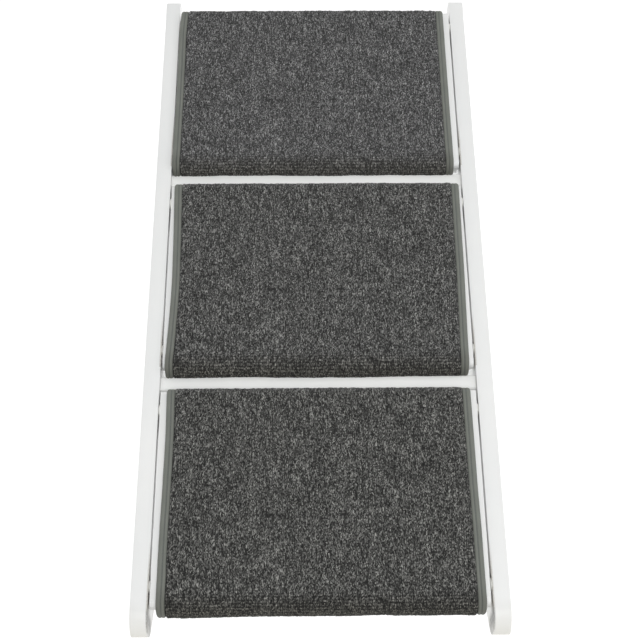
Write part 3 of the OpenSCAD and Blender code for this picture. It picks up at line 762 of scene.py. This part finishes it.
def carpet(k):
    """A carpet's pile, modelled as a fine grid laid on its board and round the nose."""
    tread = TREADS[k]
    # A point every 1.1 mm across and every 1.3 mm along the cloth
    bpy.ops.object.select_all(action="DESELECT")
    bpy.ops.mesh.primitive_grid_add(x_subdivisions=288, y_subdivisions=232, size=1)
    obj = bpy.context.object
    obj.name = obj.data.name = tread + "_carpet_pile"
    mesh = obj.data
    count = len(mesh.vertices)
    co = np.zeros(count * 3)
    mesh.vertices.foreach_get("co", co)
    co = co.reshape(-1, 3)
    u = co[:, 0] * 2 * HALF_FIELD
    s = (0.5 - co[:, 1]) * CLOTH_RUN
    loop = loops(u, s, 11 + k)
    bend = rising(s, TOP_RUN - 5 * MM, 22 * MM)
    near_nose = rising(s, TOP_RUN - 9 * MM, 11 * MM)
    y, z = on_board(s, pile_height(k, u, s, loop, bend))
    # The cut rear edge is a little uneven
    fringe = np.clip(1 - s / (3 * MM), 0, 1)
    y += fringe * 0.7 * MM * slow_waves(u, s * 0 + 1, 2.4 * MM, 33 + k)
    co[:, 0], co[:, 1], co[:, 2] = u, y, z
    mesh.vertices.foreach_set("co", co.ravel())
    low_y, low_z = on_board(s, np.full_like(s, 0.15 * MM))
    # Each carpet's painted light and tint
    light_and_tint = np.full(count, TREAD_LIGHT_AND_TINT[tread])
    for label, values in (("pile", loop), ("bend", bend), ("rows", near_nose), ("light_and_tint", light_and_tint),
                          ("low_y", low_y), ("low_z", low_z), ("u", u), ("s", s)):
        mesh.attributes.new(label, "FLOAT", "POINT").data.foreach_set("value", values)
    close_beneath(obj, count)
    for label in ("low_y", "low_z", "u", "s"):
        mesh.attributes.remove(mesh.attributes[label])
    keep_cloth_map(mesh)
    lay(obj, tread)
    bpy.ops.object.shade_smooth()
    settle(obj, tread_frame(k))
    return finish_piece(obj, pile_cloth, tread + "_tread", "carpet_pile", tread + "_carpet")


def at_rear_end(a, b):
    return min(a.y, b.y) > TAPE_START - 0.01 * MM


def at_front_end(a, b):
    return max(a.z, b.z) < -BOARD_T and min(a.y, b.y) > NOSE_R + 0.5 * TAPE_UNDER


def drawn_tape(name):
    """The tape's outline drawn along the top, round the nose and back below, and closed at both ends."""
    bpy.ops.object.select_all(action="DESELECT")
    bpy.ops.mesh.primitive_circle_add(vertices=len(TAPE_OUTLINE), radius=1, fill_type="NOTHING")
    obj = bpy.context.object
    obj.name = obj.data.name = name
    for v, (x, z) in zip(obj.data.vertices, TAPE_OUTLINE):
        v.co = (HALF_FIELD + x * MM, TAPE_START, z * MM)
    edit(obj)
    bpy.ops.mesh.select_all(action="SELECT")
    for _ in range(TOP_STEPS):
        bpy.ops.mesh.extrude_region_move(TRANSFORM_OT_translate={"value": (0, -TAPE_RUN / TOP_STEPS, 0)})
    bpy.ops.mesh.spin(steps=NOSE_STEPS, angle=math.pi, center=(0, NOSE_R, -NOSE_R), axis=(-1, 0, 0))
    bpy.ops.mesh.extrude_region_move(TRANSFORM_OT_translate={"value": (0, TAPE_UNDER, 0)})
    for end in (at_rear_end, at_front_end):
        pick(obj, end, "edges")
        bpy.ops.mesh.edge_face_add()
    bpy.ops.mesh.select_all(action="SELECT")
    bpy.ops.mesh.remove_doubles(threshold=NEARLY)
    bpy.ops.mesh.normals_make_consistent(inside=False)
    bpy.ops.object.mode_set(mode="OBJECT")
    return obj


def place_on_tape(co):
    """A point's ring, counted from the rear end, and its number in the outline."""
    if co.y > NOSE_R - NEARLY and co.z > -NOSE_R:
        ring, height = round((TAPE_START - co.y) / (TAPE_RUN / TOP_STEPS)), co.z
    elif co.y < NOSE_R + NEARLY:
        turn = math.atan2(NOSE_R - co.y, co.z + NOSE_R)
        ring = TOP_STEPS + round(turn / (math.pi / NOSE_STEPS))
        height = math.hypot(NOSE_R - co.y, co.z + NOSE_R) - NOSE_R
    else:
        ring, height = TOP_STEPS + NOSE_STEPS + 1, -BOARD_T - co.z
    at = ((co.x - HALF_FIELD) / MM, height / MM)
    return ring, min(range(len(TAPE_OUTLINE)), key=lambda i: math.dist(at, TAPE_OUTLINE[i]))


def side_tape(k, side):
    """The folded tape along one side edge. It wanders a little and swells round the nose."""
    tread = TREADS[k]
    obj = drawn_tape(f"{tread}_binding_{'left' if side < 0 else 'right'}")
    mesh = obj.data
    count = len(TAPE_OUTLINE)
    rings = TOP_STEPS + NOSE_STEPS + 2
    rng = np.random.RandomState(70 + 2 * k + (side > 0))
    drift = np.cumsum(rng.uniform(-1, 1, rings)) * WANDER
    drift -= np.linspace(drift[0], drift[-1], rings)
    drift = np.clip(drift, -WANDER_MOST, WANDER_MOST)
    evened = 9                      # rings that a rise is evened out over
    lift = np.convolve(rng.uniform(-1, 1, rings + evened - 1), np.ones(evened) / evened, "valid") * TAPE_RISE
    where = [place_on_tape(v.co) for v in mesh.vertices]
    bend = mesh.attributes.new("bend", "FLOAT", "POINT").data
    for v, (r, p) in zip(mesh.vertices, where):
        v.co.x += drift[r] * (p / count)
        if 1 < p < count - 3 and r < TOP_STEPS:
            v.co.z += lift[r]
        s = REAR - v.co.y if r <= TOP_STEPS else TOP_RUN + (r - TOP_STEPS) / NOSE_STEPS * math.pi * WRAP_R
        bend[v.index].value = rising(s, TOP_RUN - 14 * MM, 34 * MM)
        swell = 0.24 * eased(rising(s, TOP_RUN - 22 * MM, 22 * MM))
        swell += nose_fullness(k, side * HALF_FIELD, s) / TAPE
        on_nose = v.co.y < NOSE_R or v.co.z < -NOSE_R
        middle = Vector((v.co.x, max(v.co.y, NOSE_R), -NOSE_R if on_nose else 0))
        height = (v.co - middle).length - (NOSE_R if on_nose else 0)
        if height > 1 * MM:
            v.co += (v.co - middle).normalized() * height * float(swell)
        out = (TAPE_OUTLINE[p][0] - CORNER_FROM) / (TAPE_WIDTH - CORNER_FROM)
        if r < CORNER_RINGS and out > 0:
            v.co.y -= CORNER_DEEP * (1 - math.sqrt(1 - min(out, 1) ** 2)) * (1 - r / CORNER_RINGS)
    steps = [0] + [TAPE_RUN / TOP_STEPS] * TOP_STEPS
    steps += [math.pi * (NOSE_R + TAPE) / NOSE_STEPS] * NOSE_STEPS + [UNDER_RUN]
    along = np.cumsum(steps)
    cloth = mesh.uv_layers.new(name="cloth")
    for corner in mesh.loops:
        r, p = where[corner.vertex_index]
        cloth.data[corner.index].uv = (TAPE_REACH[p], along[r])
    if side < 0:
        mesh.transform(MIRROR)
        mesh.flip_normals()
    keep_cloth_map(mesh)
    lay(obj, tread)
    settle(done(obj, 50), tread_frame(k))
    return finish_piece(obj, tape_cloth, tread + "_tread", "binding_tape")


for k, tread in enumerate(TREADS):
    cloth = carpet(k)
    tapes = [side_tape(k, -1), side_tape(k, 1)]
    for tape in tapes:
        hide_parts(tread + "_binding")

# ---------------------------------------------------------------- fittings


def cross_cut(obj, x0, x1, length, width):
    """The cross recess of a screw, cut into its head from x0 outwards."""
    for size in ((length, width), (width, length)):
        bpy.ops.object.select_all(action="DESELECT")
        bpy.ops.mesh.primitive_cube_add(size=1, location=((x0 + x1) / 2, 0, 0))
        tool = bpy.context.object
        tool.scale = (x1 - x0, *size)
        settle(tool)
        edit(tool)
        pick(tool, facing_in)
        bpy.ops.transform.resize(value=(1, 0.55, 0.55))
        bpy.ops.object.mode_set(mode="OBJECT")
        cut(obj, tool)


def turned_bolt(x_in):
    """A furniture bolt along X, from x_in to a flat socket head that lies flush in the rail's outer face."""
    head_r, head_t, socket_r, socket_deep, shank_r = 7 * MM, 3 * MM, 2.9 * MM, 2.3 * MM, 4 * MM
    head = rod("bolt_head", head_r, RAIL_OUTSIDE - head_t, RAIL_OUTSIDE - 0.15 * MM, 56)
    edit(head)
    pick(head, facing_out)
    bpy.ops.mesh.inset(thickness=1.5 * MM, depth=0)
    bpy.ops.mesh.inset(thickness=0.4 * MM, depth=-0.25 * MM)
    bpy.ops.object.mode_set(mode="OBJECT")
    cut(head, rod("socket", socket_r, RAIL_OUTSIDE - socket_deep, RAIL_OUTSIDE + 1 * MM, 6))
    apply_modifier(head, "BEVEL", limit_method="ANGLE", angle_limit=math.radians(40), width=0.3 * MM,
                   segments=2)
    return done(joined([head, rod("shank", shank_r, x_in, RAIL_OUTSIDE - 2 * MM, 32)], "bolt"))


def screw_head(radius, thick, neck):
    """A countersunk cross-recessed head along X, from its neck to its face at x = 0."""
    head = rod("screw_head", radius, -thick, 0, 36)
    edit(head)
    pick(head, facing_in)
    bpy.ops.transform.resize(value=(1, neck / radius, neck / radius))
    pick(head, facing_out)
    bpy.ops.mesh.inset(thickness=0.16 * radius, depth=0.04 * radius)
    bpy.ops.object.mode_set(mode="OBJECT")
    cross_cut(head, -0.55 * thick, 1 * MM, 1.15 * radius, 0.24 * radius)
    return head


def pair(obj, name, place):
    """The same fitting on both sides, as one piece."""
    parts = [copied(obj, name + "_r", place), copied(obj, name + "_l", MIRROR @ place)]
    return done(joined(parts, name))


bolt = turned_bolt(HALF_BOARD - 28 * MM)
for k, tread in enumerate(TREADS):
    piece = pair(bolt, tread + "_bolts", tread_frame(k) @ Matrix.Translation((0, PIVOT.y, PIVOT.z)))
    finish_piece(piece, zinc, tread + "_tread", "zinc_steel", tread + "_pivot_bolts")
leg_bolt = turned_bolt(156 * MM)
at = joint_at["leg_frame_fold"]
piece = pair(leg_bolt, "leg_frame_bolts", Matrix.Translation((0, at.y, at.z)))
finish_piece(piece, zinc, "leg_frame", "zinc_steel", "leg_bolts")

# Two screws through each rail into each crossbar. The bars lie down the slope from the upper two treads.
HEAD_R, HEAD_T, SHANK_R, SCREW_LEN = 4.5 * MM, 2.5 * MM, 2.5 * MM, 53 * MM
BAR_MIDDLE, SCREW_ROWS = -17.5 * MM, (-29 * MM, -15 * MM)
head = screw_head(HEAD_R, HEAD_T, SHANK_R)
screw = done(joined([head, rod("shank", SHANK_R, -SCREW_LEN, -HEAD_T * 0.9, 24)], "screw"))
screws = []
for k in (1, 2):
    for z in SCREW_ROWS:
        spot = Matrix.Translation((RAIL_OUTSIDE - 0.2 * MM, BAR_MIDDLE, z))
        turn = Matrix.Rotation(0.5 * k + 60 * z, 4, "X")
        screws.append(pair(screw, "bar_screw", tread_frame(k) @ spot @ turn))
finish_piece(done(joined(screws, "bar_screws")), zinc, "frame", "zinc_steel", "crossbar_screws")

# Each tread's two hinges: a leaf of each on the back of the front batten, and a leaf of each on the riser
small_head = done(screw_head(2.7 * MM, 0.9 * MM, 1.2 * MM))
HINGE_AT, SCREW_PITCH = 110 * MM, 17 * MM


def hinge_leaves(tread, part, body, facing, spot):
    """One part's two leaves, with three screws each. spot(step) is a screw's y and z from the hinge pin."""
    hinge = Matrix.Translation(joint_at[tread + "_riser_swing"]) @ Matrix.Rotation(SLOPE, 4, "X")
    heads = []
    for side in (-1, 1):
        for step in (-1, 0, 1):
            at = Matrix.Translation((side * HINGE_AT + step * SCREW_PITCH, *spot(step)))
            turn = Matrix.Rotation(1.1 * step + side, 4, "X")
            heads.append(copied(small_head, "head", hinge @ at @ facing @ turn))
    node = f"{tread}_{part}_leaves"
    leaves = softened(node, 0.35 * MM, segments=2)
    piece = done(joined([leaves, *heads], f"{tread}_{part}_hinge_leaves"))
    finish_piece(piece, zinc, body, "zinc_steel", node)


for tread in TREADS:
    hinge_leaves(tread, "board", tread + "_tread", Matrix.Rotation(math.pi / 2, 4, "Z"),
                 lambda step: (-1.35 * MM, 8.3 * MM))
    hinge_leaves(tread, "riser", tread + "_riser", Matrix.Rotation(math.pi / 2, 4, "Y"),
                 lambda step: (13 * MM + 3 * MM * abs(step), -0.15 * MM))
for pattern in (bolt, leg_bolt, screw, small_head):
    bpy.data.objects.remove(pattern)

# Moulded, plated and rubber fittings: how far their edges are eased, in mm, and what they are made of
NYLON, ZINC = (nylon, "white_nylon"), (zinc, "zinc_steel")
RUBBER, MAGNET = (rubber, "grey_rubber"), (nickel, "magnet")
EASED = [("stop_pegs", 0.6, NYLON), ("leg_spacers", 0.5, NYLON), ("stay_pins", 0.5, ZINC),
         ("stay_rivets", 0.25, ZINC), ("stay_left", 0.4, ZINC), ("stay_right", 0.4, ZINC),
         ("toe_pads", 0.4, RUBBER), ("leg_pads", 0.4, RUBBER), ("lower_riser_strip", 0.5, RUBBER)]
for tread in TREADS:
    EASED += [(tread + "_spacers", 0.5, NYLON), (tread + "_magnets", 0.4, MAGNET),
              (tread + "_riser_discs", 0.3, ZINC)]
for node, width, (mat, slot_name) in EASED:
    piece = softened(node, width * MM, segments=2)
    piece.name = piece.data.name = node + "_eased"
    finish_piece(piece, mat, body_of[node], slot_name, node)
for tread in TREADS:
    nodes[tread + "_hinge_pins"].material_slots[0].material = zinc

# ---------------------------------------------------------------- camera, light and floor

CAMERA_AT = (-0.0119, -1.4506, 0.9560)
PITCH, YAW, ROLL = (math.radians(a) for a in (28.084, 0.610, -0.020))
forward = Vector((math.sin(YAW) * math.cos(PITCH), math.cos(YAW) * math.cos(PITCH), -math.sin(PITCH)))
right = Vector((math.cos(YAW), -math.sin(YAW), 0))
up = right.cross(forward)
right, up = math.cos(ROLL) * right + math.sin(ROLL) * up, math.cos(ROLL) * up - math.sin(ROLL) * right
optics = bpy.data.cameras.new("camera")
optics.sensor_width, optics.lens = 36, 73.77        # mm
camera = bpy.data.objects.new("camera", optics)
bpy.context.scene.collection.objects.link(camera)
camera.matrix_world = Matrix.Translation(CAMERA_AT) @ Matrix((right, up, -forward)).transposed().to_4x4()
bpy.context.scene.camera = camera

# The floor glows nearly white, so that only the shade where the ramp stands shows on it
floor_mat, _, shader = material("studio_floor", Roughness=0.9)
shader.inputs["Base Color"].default_value = (0.22, 0.22, 0.215, 1)
shader.inputs["Emission Color"].default_value = (1.0, 1.0, 1.0, 1)
shader.inputs["Emission Strength"].default_value = 0.95
bpy.ops.object.select_all(action="DESELECT")
bpy.ops.mesh.primitive_plane_add(size=60, location=(0, 0, 0))
floor = bpy.context.object
floor.name = "floor"
floor.data.materials.append(floor_mat)


def soft_light(name, at, towards, size, power):
    """A square light of a size in metres and a power in watts."""
    data = bpy.data.lights.new(name, "AREA")
    data.shape, data.size, data.energy = "SQUARE", size, power
    lamp = bpy.data.objects.new(name, data)
    bpy.context.scene.collection.objects.link(lamp)
    lamp.location = at
    lamp.rotation_euler = (Vector(towards) - Vector(at)).to_track_quat("-Z", "Y").to_euler()


soft_light("overhead_box", (-0.2, -0.5, 2.7), (0, -0.1, 0.2), 2.4, 12)
soft_light("front_box", (0.3, -2.3, 1.7), (0, 0, 0.25), 1.8, 26.8)
soft_light("side_box", (2.2, -0.6, 1.6), (0, 0, 0.25), 1.6, 7)
soft_light("back_box", (0, 1.7, 0.9), (0, 0.1, 0.2), 2.0, 9)
world = bpy.data.worlds.new("studio")
bpy.context.scene.world = world
world.use_nodes = True
sky = world.node_tree.nodes["Background"]
sky.inputs["Color"].default_value = (1, 1, 1, 1)
sky.inputs["Strength"].default_value = 0.48
bpy.context.scene.view_settings.view_transform = "Standard"
